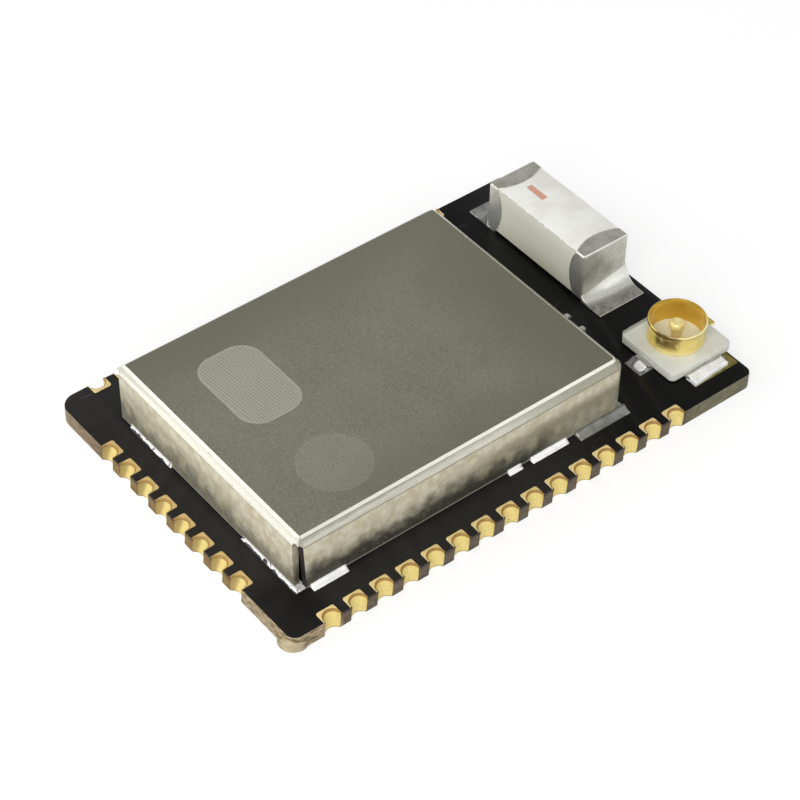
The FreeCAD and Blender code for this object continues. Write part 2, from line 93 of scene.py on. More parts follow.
# Coaxial receptacle, whose profiles are pairs of a radius and a height
BARREL_CENTRE = (8.25, -3.88)
BARREL_SIDES = 96
BARREL_PROFILE = [
    (0.94, 0.9), (0.945, 1.01), (0.965, 1.04), (0.978, 1.08), (0.98, 1.14), (0.972, 1.20), (0.966, 1.32),
    (0.966, 1.54), (0.97, 1.60), (0.982, 1.66), (0.995, 1.70), (1.0, 1.74), (1.0, 1.80), (0.993, 1.835),
    (0.978, 1.85), (0.965, 1.85), (0.948, 1.84), (0.938, 1.81), (0.93, 1.6), (0.915, 1.3), (0.90, 0.9),
    (0.94, 0.9)]
PIN_PROFILE = [
    (0.18, 0.9), (0.175, 1.36), (0.19, 1.41), (0.235, 1.46), (0.25, 1.50), (0.252, 1.60), (0.235, 1.66),
    (0.20, 1.695), (0.14, 1.70), (0.08, 1.685), (0.03, 1.68)]
HOUSING_BOX = ((6.91, -5.2, 0.65), (9.58, -2.58, 1.0))
STUB_LEG_BOX = ((9.15, -3.98, 0.65), (10.0, -3.41, 0.77))
NEAR_LEG_BOX = ((7.45, -5.46, 0.65), (9.05, -4.7, 0.77))
FAR_LEG_BOX = ((7.45, -3.06, 0.65), (9.05, -2.44, 0.77))
TAIL_BOX = ((6.75, -4.21, 0.65), (7.15, -3.55, 0.77))
GROUND_PAD_BOX = ((7.5, -5.77, 0.6), (9.36, -5.1, 0.625))
GROUND_BEAD_BOX = ((7.46, -5.76, 0.61), (9.0, -5.3, 0.79))
FAR_BEAD_BOX = ((7.47, -2.7, 0.6), (9.3, -2.36, 0.74))

# Centre of a drop of solder on the signal tail, painted bright as a highlight
SIGNAL_DROP = (6.66, -3.94)

# Relief of the solder
LUMP_SIZE = 0.5
LUMP_PITCH = 0.09
FLAT_LUMPS = 0.006
ROUGH_LUMPS = 0.022
BEAD_LUMPS = 0.05

# Small chip beside the can
CHIP_BODY_BOX = ((5.77, -1.68, 0.63), (6.18, -0.74, 0.88))
CHIP_NEAR_CAP_BOX = ((5.75, -1.7, 0.6), (6.23, -1.5, 0.93))
CHIP_FAR_CAP_BOX = ((5.75, -0.93, 0.6), (6.23, -0.72, 0.93))

# Marks on the lid: a plain disc and a plain rounded rectangle, both filled with fine lines
DISC_CENTRE = (-5.26, -2.96)
DISC_RADIUS = 1.22
PANEL_CENTRE = (-5.3, 1.4)
PANEL_HALF = (1.15, 1.75)
PANEL_CORNER = 0.8
HATCH_PITCH = 0.11

# The room's light, from its floor up to its ceiling
ROOM_STOPS = ((0.12, (0.85, 0.85, 0.85, 1)), (0.55, (0.34, 0.34, 0.34, 1)))

# Softboxes: a direction, then distance, width and height in millimetres, then radiance
SOFTBOXES = {
    "left_softbox": ((-0.72, 0.52, 0.42), 140, 120, 90, 2.2),
    "front_softbox": ((0.45, -0.72, 0.52), 150, 90, 70, 1.0),
    "top_softbox": ((-0.6, -0.5, 0.65), 200, 140, 140, 4.0)}

# Camera of the photograph, in millimetres and degrees
CAMERA_PLACE = (-37.601, -46.007, 58.501)
CAMERA_AIM = (-0.855, -0.643, 1.0)
CAMERA_ROLL = 1.0
CAMERA_LENS = 114.17


def deselect():
    for piece in list(bpy.context.selected_objects):
        piece.select_set(False)


def take(piece):
    """Makes one piece the only selected one."""
    deselect()
    piece.select_set(True)
    bpy.context.view_layer.objects.active = piece
    return piece


def settle(piece):
    """Puts a piece's place, turn and size into its mesh."""
    take(piece)
    bpy.ops.object.transform_apply(location=True, rotation=True, scale=True)
    return piece


def block(name, low, high):
    deselect()
    middle = [(a + b) / 2 for a, b in zip(low, high)]
    span = [b - a for a, b in zip(low, high)]
    bpy.ops.mesh.primitive_cube_add(size=1, location=middle, scale=span)
    piece = bpy.context.active_object
    piece.name = name
    return settle(piece)


class Shaping:
    """Edit mode on one piece, with picks of its corners, edges and faces."""

    def __init__(self, piece):
        self.piece = piece

    def __enter__(self):
        take(self.piece)
        bpy.ops.object.mode_set(mode="EDIT")
        return self

    def __exit__(self, *problem):
        bpy.ops.object.mode_set(mode="OBJECT")
        return False

    def pick(self, kind, wanted=None):
        """Selects the VERT, EDGE or FACE items that wanted() is true for, or all of them."""
        bpy.ops.mesh.select_mode(type=kind)
        bpy.ops.mesh.select_all(action="DESELECT")
        form = bmesh.from_edit_mesh(self.piece.data)
        items = {"VERT": form.verts, "EDGE": form.edges, "FACE": form.faces}[kind]
        for item in items:
            if wanted is None or wanted(item):
                item.select_set(True)
        form.select_flush_mode()
        bmesh.update_edit_mesh(self.piece.data)

    def bisect(self, place, normal):
        self.pick("FACE")
        bpy.ops.mesh.bisect(plane_co=place, plane_no=normal)

    def shift(self, wanted, x, y, z):
        """Moves the corners that wanted() is true for."""
        self.pick("VERT", wanted)
        bpy.ops.transform.translate(value=(x, y, z))

    def bevel(self, wanted, offset, segments, clamp=False):
        """Rounds the edges that wanted() is true for, or chamfers them where segments is 1."""
        self.pick("EDGE", wanted)
        bpy.ops.mesh.bevel(offset=offset, segments=segments, affect="EDGES", clamp_overlap=clamp)


def middle_of(edge):
    return (edge.verts[0].co + edge.verts[1].co) / 2


def upright(edge):
    way = edge.verts[0].co - edge.verts[1].co
    return abs(way.z) > 1e-4 and math.hypot(way.x, way.y) < 1e-4


def apply_modifier(piece, kind, **settings):
    take(piece)
    modifier = piece.modifiers.new(kind.lower(), kind)
    for name, value in settings.items():
        setattr(modifier, name, value)
    bpy.ops.object.modifier_apply(modifier=modifier.name)
    return piece


def soften(piece, width, segments=2, angle=40):
    """Rounds the sharp edges of a piece."""
    return apply_modifier(piece, "BEVEL", width=width, segments=segments, limit_method="ANGLE",
                          angle_limit=math.radians(angle))


def cut(piece, tool):
    apply_modifier(piece, "BOOLEAN", operation="DIFFERENCE", object=tool, solver="EXACT")
    bpy.data.objects.remove(tool)
    return piece


def join(first, *others):
    take(first)
    for other in others:
        other.select_set(True)
    bpy.ops.object.join()
    return first


def copied(piece, name):
    """A copy of a piece, with its own mesh."""
    copy = piece.copy()
    copy.data = piece.data.copy()
    copy.name = name
    bpy.context.scene.collection.objects.link(copy)
    return copy


def twin(piece, name, x, y, turn):
    """A copy that is turned about the upright axis and then moved."""
    copy = copied(piece, name)
    copy.rotation_euler = (0, 0, math.radians(turn))
    copy.location = (x, y, 0)
    return settle(copy)


def cast(node, name):
    """A copy of a CAD solid in millimetres, with its loose triangles joined into whole faces."""
    piece = copied(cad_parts[node], name)
    for key in list(piece.keys()):
        del piece[key]
    piece.parent = None
    piece.data.materials.clear()
    piece.matrix_world = Matrix.Scale(1 / UNIT, 4)
    settle(piece)
    with Shaping(piece) as shape:
        shape.pick("VERT")
        bpy.ops.mesh.remove_doubles(threshold=0.0005)
        bpy.ops.mesh.dissolve_limited(angle_limit=math.radians(0.5))
    return piece


def cover(piece, finishes):
    """Gives each face the first material whose test it passes: finishes holds pairs of the two."""
    for material, wanted in finishes:
        piece.data.materials.append(material)
    for face in piece.data.polygons:
        for number, (material, wanted) in enumerate(finishes):
            if wanted is None or wanted(face):
                face.material_index = number
                break
    return piece


def finish(piece, nodes, material=None, angle=35):
    """Brings a piece to metres, smooths it, gives it its finish, and hides the CAD nodes that it replaces."""
    piece.scale = (UNIT, UNIT, UNIT)
    settle(piece)
    take(piece)
    bpy.ops.object.shade_smooth_by_angle(angle=math.radians(angle))
    if material is not None:
        piece.data.materials.clear()
        piece.data.materials.append(material)
    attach(piece, "root")
    if nodes:
        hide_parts(*nodes)
    return piece


def tone(red, green, blue):
    """A colour as a screen shows it, 0 to 255, in the shader's own light."""
    made = []
    for part in (red, green, blue):
        share = part / 255
        made.append(share / 12.92 if share <= 0.04045 else ((share + 0.055) / 1.055) ** 2.4)
    return (*made, 1.0)


class Wire:
    """A value that flows between shader nodes, and that plain arithmetic can be written with."""

    def __init__(self, network, socket):
        self.network = network
        self.socket = socket

    def __add__(self, other):
        return self.network.maths("ADD", self, other)

    def __radd__(self, other):
        return self.network.maths("ADD", other, self)

    def __sub__(self, other):
        return self.network.maths("SUBTRACT", self, other)

    def __rsub__(self, other):
        return self.network.maths("SUBTRACT", other, self)

    def __mul__(self, other):
        return self.network.maths("MULTIPLY", self, other)

    def __rmul__(self, other):
        return self.network.maths("MULTIPLY", other, self)

    def __truediv__(self, other):
        return self.network.maths("DIVIDE", self, other)

    def __rtruediv__(self, other):
        return self.network.maths("DIVIDE", other, self)

    def far_from(self, centre):
        """How far the value is from a centre, either way."""
        return self.network.maths("ABSOLUTE", self - centre)

    def fade(self, low, high):
        """0 where the value is at low, 1 where it is at high, smooth between."""
        settings = {"interpolation_type": "SMOOTHSTEP"}
        sockets = {"Value": self, "From Min": low, "From Max": high}
        return self.network.out(self.network.node("MapRange", settings, sockets), "Result")

    def band(self, centre, out, full):
        """1 where the value is nearer to a centre than full, 0 where it is further than out."""
        return self.far_from(centre).fade(out, full)


class Network:
    """The nodes of one material or of the world."""

    def __init__(self, tree):
        self.tree = tree
        tree.nodes.clear()

    def node(self, kind, settings=None, sockets=None):
        """A node of this kind, with its settings made first and its sockets fed after."""
        made = self.tree.nodes.new("ShaderNode" + kind)
        for name, value in (settings or {}).items():
            if name == "stops":
                self.set_stops(made.color_ramp.elements, value)
            else:
                setattr(made, name, value)
        for name, value in (sockets or {}).items():
            self.feed(self.socket(made.inputs, name), value)
        return made

    def set_stops(self, elements, stops):
        for element, (place, colour) in zip(elements, stops):
            element.position = place
            element.color = colour

    def socket(self, sockets, name):
        """A socket by its number, or the first one in use that has this name."""
        if isinstance(name, int):
            return sockets[name]
        return next(found for found in sockets if found.name == name and found.enabled)

    def feed(self, socket, value):
        if isinstance(value, Wire):
            self.tree.links.new(value.socket, socket)
        else:
            socket.default_value = value

    def out(self, node, name):
        return Wire(self, self.socket(node.outputs, name))

    def maths(self, operation, *values):
        return self.out(self.node("Math", {"operation": operation}, dict(enumerate(values))), "Value")


class Finish(Network):
    """One material: a Principled shader and the nodes that feed it. Lengths are millimetres."""

    def __init__(self, name):
        self.material = bpy.data.materials.new(name)
        self.material.use_nodes = True
        super().__init__(self.material.node_tree)
        self.colour = None
        self.shader = self.node("BsdfPrincipled")
        self.node("OutputMaterial", {}, {"Surface": self.out(self.shader, "BSDF")})
        object_place = self.out(self.node("TexCoord"), "Object")
        scaled = self.node("VectorMath", {"operation": "SCALE"}, {"Vector": object_place, "Scale": 1 / UNIT})
        self.here = self.out(scaled, "Vector")
        parts = self.node("SeparateXYZ", {}, {"Vector": self.here})
        self.x = self.out(parts, "X")
        self.y = self.out(parts, "Y")
        self.z = self.out(parts, "Z")

    def least(self, first, second):
        return self.maths("MINIMUM", first, second)

    def most(self, first, second):
        return self.maths("MAXIMUM", first, second)

    def length(self, x, y):
        return self.maths("SQRT", x * x + y * y)

    def from_axis(self, centre):
        """How far the place is from an upright line."""
        return self.length(self.x - centre[0], self.y - centre[1])

    def stretch(self, x, y, z):
        """The place, with each axis multiplied, so that a pattern gets longer where the factor is small."""
        sockets = {0: self.here, 1: (x, y, z)}
        return self.out(self.node("VectorMath", {"operation": "MULTIPLY"}, sockets), "Vector")

    def noise(self, size, detail=3.0, roughness=0.55, at=None, distortion=0.0):
        """Cloudy noise, 0 to 1, whose lumps are about this size in millimetres."""
        sockets = {"Vector": at or self.here, "Scale": 1 / size, "Detail": detail, "Roughness": roughness,
                   "Distortion": distortion}
        return Wire(self, self.node("TexNoise", {}, sockets).outputs[0])

    def dots(self, size):
        """Distance from the nearest of many scattered points, in their spacing."""
        sockets = {"Vector": self.here, "Scale": 1 / size, "Randomness": 1.0}
        return self.out(self.node("TexVoronoi", {"feature": "F1"}, sockets), "Distance")

    def mix(self, share, first, second):
        """The first colour where the share is 0, the second where it is 1."""
        sockets = {"Factor": share, "A": first, "B": second}
        settings = {"data_type": "RGBA", "clamp_factor": True}
        return self.out(self.node("Mix", settings, sockets), "Result")

    def start(self, share, first, second):
        """The finish's first colour: the first tone where the share is 0, the second where it is 1."""
        self.colour = self.mix(share, tone(*first), tone(*second))

    def tint(self, share, *colour):
        """Lays a tone over the colour so far."""
        self.colour = self.mix(share, self.colour, tone(*colour))

    def normal_part(self, axis):
        parts = self.node("SeparateXYZ", {}, {"Vector": self.out(self.node("NewGeometry"), "Normal")})
        return self.out(parts, axis)

    def wear(self, **sockets):
        """Feeds the shader with the colour and with these sockets, named with underscores for spaces."""
        for name, value in {"base_color": self.colour, **sockets}.items():
            self.feed(self.shader.inputs[name.replace("_", " ").title()], value)

    def done(self, height, depth, **sockets):
        """The material, with its surface raised by the height, 0 to 1, times this depth in millimetres."""
        relief = self.node("Bump", {}, {"Height": height, "Distance": depth * UNIT, "Strength": 1.0})
        self.wear(normal=self.out(relief, "Normal"), **sockets)
        return self.material


def solder_mask():
    """Near-black resist: a soft sheen that ripples a little, fine scratches and a few pale specks, with
    painted reflections of the can's near and left walls and painted shade beyond the can's right side.
    """
    made = Finish("solder_mask")
    ripple = made.noise(0.9, detail=2)
    grain = made.noise(0.06, detail=2)
    cloud = made.noise(1.8)
    made.start(cloud.fade(0.35, 0.7), (21, 20, 20), (31, 30, 28))
    # Painted reflection of the can's walls: the resist paler along the near wall and along the left wall.
    near_wall_reflection = made.y.fade(-4.9, -5.3) * made.x.fade(-8.1, -7.2)
    made.tint(near_wall_reflection * 0.8, 42, 40, 37)
    left_strip = made.x.fade(-8.2, -8.5) * made.y.fade(-4.6, -3.6)
    made.tint(left_strip * 0.6, 44, 41, 38)
    # Painted shade: the resist darker beyond the can's right side.
    made.tint(made.x.fade(0.5, 5.0), 9, 9, 9)
    dust = 1 - made.dots(0.62).fade(0.025, 0.05)
    dust = dust * made.noise(0.9, detail=0).fade(0.55, 0.6)
    made.tint(dust * 0.6, 150, 150, 146)
    scratch_place = made.stretch(0.35, 3.2, 1.0)
    scratch = made.noise(0.5, detail=4, at=scratch_place, distortion=0.6).fade(0.66, 0.74)
    made.tint(scratch * 0.22, 120, 122, 120)
    made.shader.inputs["Specular IOR Level"].default_value = 0.2
    return made.done(ripple * 0.7 + grain * 0.06, 0.03, roughness=0.34 + 0.16 * cloud + 0.1 * scratch)


def laminate_edge():
    """Routed edge of the board: glass layers in resin, scorched between the holes, paler at the ends."""
    made = Finish("laminate_edge")
    layers = made.noise(0.1, detail=4, roughness=0.65, at=made.stretch(0.4, 0.4, 1.0))
    fibre = made.noise(0.05, roughness=0.7)
    patches = made.noise(0.7)

    def layered(dark, light, low=0.3, high=0.7):
        return made.mix(layers.fade(low, high), tone(*dark), tone(*light))

    def lay(share, colour):
        made.colour = made.mix(share, made.colour, colour)

    made.colour = layered((79, 68, 56), (115, 102, 83))
    lay(made.x.fade(6.35, 6.6), layered((92, 89, 68), (128, 125, 100)))
    near_left = made.x.fade(-7.5, -7.75)
    lay(near_left, layered((108, 90, 60), (190, 172, 138), 0.36, 0.64))
    lay(made.x.fade(-8.5, -7.9) * near_left * 0.75, layered((150, 116, 94), (196, 160, 132)))
    far_left = made.y.fade(3.5, 4.0) * made.x.fade(-7.5, -8.2)
    lay(far_left, layered((112, 95, 74), (156, 137, 110)))
    on_stub = made.z.fade(STUB_TOP + 0.04, STUB_TOP)
    on_stub = on_stub * made.y.fade(-5.9, -6.1) * made.x.fade(-9.0, -9.2)
    made.tint(on_stub * 0.7, 206, 194, 160)
    short_teeth = made.x.fade(-9.0, -9.2) * made.y.band(0.0, 3.9, 3.7)
    lay(short_teeth, layered((104, 80, 42), (148, 120, 68)))
    long_teeth = made.x.fade(-7.8, -7.5) * made.x.fade(6.4, 6.2)
    overhang = (made.z + (patches - 0.5) * 0.1).fade(0.46, 0.54) * made.most(long_teeth, short_teeth)
    made.tint(overhang * 0.8, 42, 36, 33)
    made.tint(fibre.fade(0.58, 0.72) * 0.45, 66, 56, 46)
    made.tint(fibre.fade(0.4, 0.26) * 0.35, 206, 194, 168)
    return made.done(layers * 0.8 + fibre * 0.3, 0.02, roughness=0.62 + 0.2 * patches)


def gold_plating(name, light, dark, roughness):
    """Electroless gold over rough copper: pale and satin, with pits that show darker, a painted dark
    reflection of the teeth on the short row's walls and painted shade on the short row's pads.
    """
    made = Finish(name)
    grain = made.noise(0.035, roughness=0.7)
    cloud = made.noise(0.4, detail=2)
    made.start(grain.fade(0.35, 0.7), dark, light)
    made.tint(cloud.fade(0.5, 0.8) * 0.35, *dark)
    pits = 1 - made.dots(0.13).fade(0.08, 0.22)
    pits = pits * made.noise(0.16, detail=0).fade(0.5, 0.58)
    made.tint(pits * 0.5, 132, 104, 48)
    # Painted reflection: the short row's walls that face -Y darker, mirroring the dark tooth beside them.
    tooth_reflection = made.normal_part("Y").fade(-0.35, -0.8) * made.x.fade(-8.9, -9.0)
    made.tint(tooth_reflection * 0.75, 150, 126, 72)
    # Painted shade: the short row's pads darker.
    short_row_shade = made.x.fade(-8.7, -8.9) * made.normal_part("Z").fade(0.5, 0.9)
    made.tint(short_row_shade * 0.45, 188, 150, 84)
    return made.done(grain, 0.006, roughness=roughness + 0.15 * grain, metallic=0.15)


def lid_tin():
    """Rolled tinplate on the lid: fine grain, faint blotches, painted shade towards its right and far sides
    and in a patch near its near edge, and two plain marks etched in fine lines.
    """
    made = Finish("lid_tin")
    grain = made.noise(0.035, detail=2, roughness=0.6)
    smear = made.noise(0.16)
    cloud = made.noise(2.6, detail=2)
    made.start(cloud.fade(0.35, 0.7), (168, 166, 146), (177, 175, 155))
    made.tint(smear.fade(0.45, 0.75) * 0.4, 186, 178, 160)
    made.tint(smear.fade(0.5, 0.25) * 0.35, 158, 162, 142)
    coarse = made.noise(0.075, detail=2, roughness=0.6)
    made.tint(coarse.fade(0.52, 0.7) * 0.4, 206, 204, 186)
    made.tint(coarse.fade(0.46, 0.3) * 0.4, 124, 123, 104)
    made.tint(grain.fade(0.5, 0.75) * 0.3, 200, 198, 180)
    # Painted shade: the lid darker towards +X and +Y, and less so in a patch near its near edge right of the
    # disc.
    away = made.most(made.x.fade(0.0, 4.5), made.y.fade(1.0, 4.6))
    away = made.most(away, made.y.fade(-2.6, -4.6) * made.x.fade(-6.8, -4.5) * 0.6)
    made.tint(away * 0.9, 150, 149, 131)
    across = made.x * 0.995 + made.y * 0.1
    wobble = made.noise(0.25, detail=1) * 0.35
    comb = made.maths("FRACT", across / HATCH_PITCH + wobble)
    lines = comb.band(0.5, 0.42, 0.2)
    disc_gap = made.from_axis(DISC_CENTRE) - DISC_RADIUS
    panel_x = made.most(made.x.far_from(PANEL_CENTRE[0]) - (PANEL_HALF[0] - PANEL_CORNER), 0.0)
    panel_y = made.most(made.y.far_from(PANEL_CENTRE[1]) - (PANEL_HALF[1] - PANEL_CORNER), 0.0)
    panel_gap = made.length(panel_x, panel_y) - PANEL_CORNER
    gap = made.least(disc_gap, panel_gap)
    inside = gap.fade(0.01, -0.02)
    rim = gap.band(-0.03, 0.05, 0.02)
    etched = made.least(inside * (0.35 + 0.65 * lines) + rim * 0.5, 1.0)
    etched = etched * (1 - 0.7 * disc_gap.fade(0.1, 0.0))
    made.tint(etched * 0.75, 226, 224, 206)
    return made.done(grain * 0.5 + smear * 0.3 + etched * 0.6, 0.006,
                     roughness=0.36 + 0.14 * grain + 0.12 * etched, metallic=0.92)


def bend_tin():
    """The drawn bend round the lid: brushed along its length, with short dark scuffs, and painted in bands of
    reflection: a highlight at the lid's edge, a dark line, a lighter lower band, and shade at the right end
    and on the left strip.
    """
    made = Finish("bend_tin")
    brushed = made.noise(0.06, at=made.stretch(0.16, 0.4, 1.0))
    scuff = made.noise(0.07, at=made.stretch(1.0, 0.6, 1.0)).fade(0.6, 0.74)
    made.start(brushed.fade(0.3, 0.7), (182, 180, 166), (204, 202, 188))
    # Painted reflection: the lower part of the bend lighter.
    made.tint(made.z.fade(2.66, 2.6) * 0.5, 216, 213, 198)
    # Painted shade: a dark line between the painted bands.
    under_line_shade = made.z.band(2.70, 0.03, 0.012) * made.x.fade(-7.95, -7.8)
    made.tint(under_line_shade * 0.4, 150, 148, 132)
    # Painted highlight: the bend near white along the lid's edge.
    lid_edge_highlight = made.z.fade(2.70, 2.722)
    made.tint(lid_edge_highlight * 0.95, 255, 252, 236)
    # Painted shade: the bend darker towards its right end.
    right_end_shade = made.x.fade(-1.0, 3.0) * made.z.fade(2.72, 2.66)
    made.tint(right_end_shade * 0.72, 146, 144, 126)
    # Painted shade: the left strip, which faces the left softbox, toned darker.
    left_strip = made.x.fade(-7.9, -7.96)
    made.tint(left_strip * 0.62, 172, 170, 160)
    made.tint(scuff * (0.35 + 0.3 * left_strip), 120, 116, 100)
    return made.done(brushed, 0.006,
                     roughness=0.3 + 0.15 * brushed, metallic=0.85 - 0.25 * lid_edge_highlight * (1 - left_strip))


def wall_tin():
    """The can's walls: hot-tinned and blotched, straw-coloured above and speckled at the foot, with painted
    shade, a painted reflection of the dark board at the foot, painted reflections of the contacts, a painted
    highlight on the lower edge and painted shade in the crease.
    """
    made = Finish("wall_tin")
    blotch = made.noise(0.34, detail=4)
    fine = made.noise(0.06, roughness=0.7)
    wide = made.noise(1.3, detail=2)
    made.start(blotch.fade(0.34, 0.68), (198, 190, 164), (220, 215, 194))
    straw = made.noise(0.5).fade(0.5, 0.72)
    made.tint(straw * 0.35, 190, 174, 128)
    left_wall = made.x.fade(-8.08, -8.16)
    # Painted shade: the walls darker below the bend, further along the left wall and towards +X, less at the
    # right foot.
    left_wall_shade = left_wall * made.y.fade(-3.4, -0.5) * made.z.fade(2.3, 1.8)
    wall_shade = made.most(made.x.fade(-4.5, 1.5) * made.z.fade(2.2, 1.75), left_wall_shade * 0.4)
    right_foot = made.x.fade(1.0, 2.8) * made.z.fade(1.6, 1.1)
    made.tint(wall_shade * (0.75 - 0.5 * right_foot), 140, 136, 112)
    # Painted reflection of the dark board: the walls dark towards their foot, less on the left wall and at
    # the right end.
    low = (made.z + (blotch - 0.5) * 0.7 + (wide - 0.5) * 1.1).fade(1.75, 0.95)
    depth = 0.92 - 0.42 * left_wall - 0.75 * made.x.fade(1.0, 2.8)
    made.tint(low * depth, 58, 56, 50)
    speck = fine.fade(0.55, 0.72)
    made.tint(speck * (0.12 + 0.4 * low), 60, 56, 50)
    pale = made.noise(0.09, detail=2).fade(0.6, 0.72)
    made.tint(pale * low * 0.5, 168, 164, 148)
    # Painted reflection of the contacts: pale patches at their pitch, mid-height on the walls.
    along = made.x * (1 - left_wall) + made.y * left_wall
    step = made.maths("FRACT", along / PITCH + 0.45)
    contact_reflection = (step + (blotch - 0.5) * 0.3).band(0.5, 0.24, 0.08)
    contact_reflection = contact_reflection * made.z.band(1.3, 0.4, 0.1)
    contact_reflection = contact_reflection * made.most(left_wall, made.x.fade(-3.0, 0.0))
    made.tint(contact_reflection * 0.35, 214, 204, 170)
    parted = made.normal_part("Y").fade(-0.8, -0.95) * made.x.fade(-7.9, -7.95)
    parted = parted * made.y.fade(-4.9, -4.8)
    made.tint(parted * 0.2, 128, 118, 96)
    # Painted highlight: a light line along the wall's lower edge.
    lower_edge_highlight = made.z.fade(0.74, 0.70)
    made.tint(lower_edge_highlight * 0.7, 196, 192, 176)
    # Painted shade in the pressed crease.
    crease = made.z.band(CREASE, 0.03, 0.012)
    made.tint(crease * 0.75, 70, 66, 56)
    return made.done(blotch * 0.5 + fine * 0.12, 0.02, roughness=0.42 + 0.16 * blotch, metallic=0.5)


def seam_shade():
    """Inside of the can and the parted edges of its corners: raw steel that the light hardly reaches."""
    made = Finish("seam_shade")
    cloud = made.noise(0.3)
    made.start(cloud, (12, 8, 6), (26, 20, 15))
    return made.done(cloud, 0.01, roughness=0.6 + 0.2 * cloud)


def antenna_ceramic():
    """Fired ceramic, chalk white on top, its sides painted greyer as shade and paler and yellower towards the
    foot, with a small copper-coloured mark.
    """
    made = Finish("antenna_ceramic")
    cloud = made.noise(0.9)
    grain = made.noise(0.05, detail=2)
    # Painted shade: the sides a greyer copy of the top's white, lighter towards the foot.
    top = made.mix(cloud.fade(0.35, 0.7), tone(246, 246, 240), tone(234, 233, 225))
    side = made.mix(made.z.fade(2.2, 0.8), tone(208, 207, 194), tone(232, 231, 212))
    upper = made.normal_part("Z").fade(0.5, 0.8)
    made.colour = made.mix(upper, side, top)
    arris = made.normal_part("Z").band(0.6, 0.34, 0.2) * made.normal_part("X").fade(-0.2, -0.4)
    arris = arris * made.noise(0.16).fade(0.4, 0.5)
    made.tint(arris * 0.6, 160, 158, 146)
    made.tint(grain.fade(0.6, 0.8) * 0.2, 178, 176, 160)
    worn = (made.noise(0.12, detail=2) - 0.5) * 0.08
    mark_x = (made.x.far_from(MARK_CENTRE[0]) + worn).fade(0.14, 0.11)
    mark_y = (made.y.far_from(MARK_CENTRE[1]) + worn).fade(0.44, 0.4)
    made.tint(mark_x * mark_y * upper * 0.9, 214, 150, 122)
    return made.done(grain * 0.5 + cloud * 0.5, 0.008, roughness=0.52 + 0.12 * cloud)


def terminal_tin():
    """Plated antenna terminals: matt grey tin, a little pitted, painted lighter on faces towards -X and low
    on the near end face, with a painted highlight on the near terminal's rounded top edges.
    """
    made = Finish("terminal_tin")
    cloud = made.noise(0.5)
    grain = made.noise(0.045, roughness=0.7)
    made.start(cloud.fade(0.35, 0.7), (190, 190, 178), (216, 216, 208))
    # Painted light: faces towards -X lighter.
    made.tint(made.normal_part("X").fade(-0.5, -0.9) * 0.5, 240, 240, 232)
    made.tint(grain.fade(0.52, 0.72) * 0.55, 124, 124, 112)
    # Painted light: the near end face lighter towards its foot, over the solder.
    foot = made.z.fade(1.6, 0.9) * made.y.fade(-0.2, -0.3)
    made.tint(foot * 0.6, 240, 240, 234)
    # Painted highlight on the near terminal's rounded top edges.
    edge = made.normal_part("Z").band(0.7, 0.26, 0.1) * made.y.fade(0.3, 0.1)
    made.tint(edge * 0.8, 255, 255, 250)
    return made.done(grain + cloud * 0.4, 0.01, roughness=0.34 + 0.2 * grain, metallic=0.85 - 0.4 * edge)


def solder(name, light, dark, roughness, metallic=0.6):
    """Solder that has run and set: bright where it is smooth, grey where it has frosted."""
    made = Finish(name)
    flow = made.noise(0.4, detail=2, distortion=0.6)
    frost = made.noise(0.6, detail=2).fade(0.42, 0.66)
    grain = made.noise(0.05, detail=2)
    made.start(frost * 0.6 + 0.1 * grain, light, dark)
    pits = (1 - made.dots(0.13).fade(0.1, 0.22)) * made.noise(0.3, detail=0).fade(0.52, 0.58)
    made.tint(pits * 0.6, 92, 92, 88)
    return made.done(flow + grain * 0.06 * frost, 0.025, roughness=roughness + 0.2 * frost, metallic=metallic)


def climbing_solder():
    """The antenna's near joint: frosted grey on the pad, smooth where it climbs the end face and painted near
    white there as a highlight.
    """
    made = Finish("climbing_solder")
    cloud = made.noise(0.25)
    fine = made.noise(0.07, detail=2)
    made.start(cloud.fade(0.35, 0.68), (168, 168, 160), (128, 128, 120))
    # Painted highlight: the solder near white where it climbs.
    climb = (made.z + (cloud - 0.5) * 0.06).fade(0.67, 0.74)
    made.tint(climb, 232, 233, 226)
    top = (made.z - 0.23 * (made.x - RAMP_BOX[0][0]) + (cloud - 0.5) * 0.1).fade(0.68, 0.84)
    made.tint(top * 0.6, 186, 186, 176)
    rim = made.most(made.y.fade(-1.3, -1.33), made.x.fade(9.1, 9.14))
    rim = rim * made.z.fade(0.72, 0.68)
    made.tint(rim * 0.6, 206, 206, 196)
    made.tint(fine.fade(0.55, 0.7) * 0.3 * (1 - climb), 90, 90, 84)
    return made.done(cloud + fine * 0.2, 0.02, roughness=0.42 - 0.16 * climb, metallic=0.5)


def broken_solder():
    """A thin run of solder beside the can, wetted in places only, painted near white as a highlight where
    wetted.
    """
    made = Finish("broken_solder")
    cloud = made.noise(0.3)
    fine = made.noise(0.08, detail=2)
    # Painted highlight: the wetted solder near white, with little metal.
    made.start(fine.fade(0.5, 0.7), (252, 252, 248), (206, 206, 200))
    away = (CAN_LOW[0] - made.x) + (cloud - 0.5) * 0.16
    made.tint(away.fade(0.045, 0.065), 16, 16, 15)
    made.tint(cloud.fade(0.42, 0.36), 16, 16, 15)
    return made.done(cloud, 0.02, roughness=0.3, metallic=0.2)


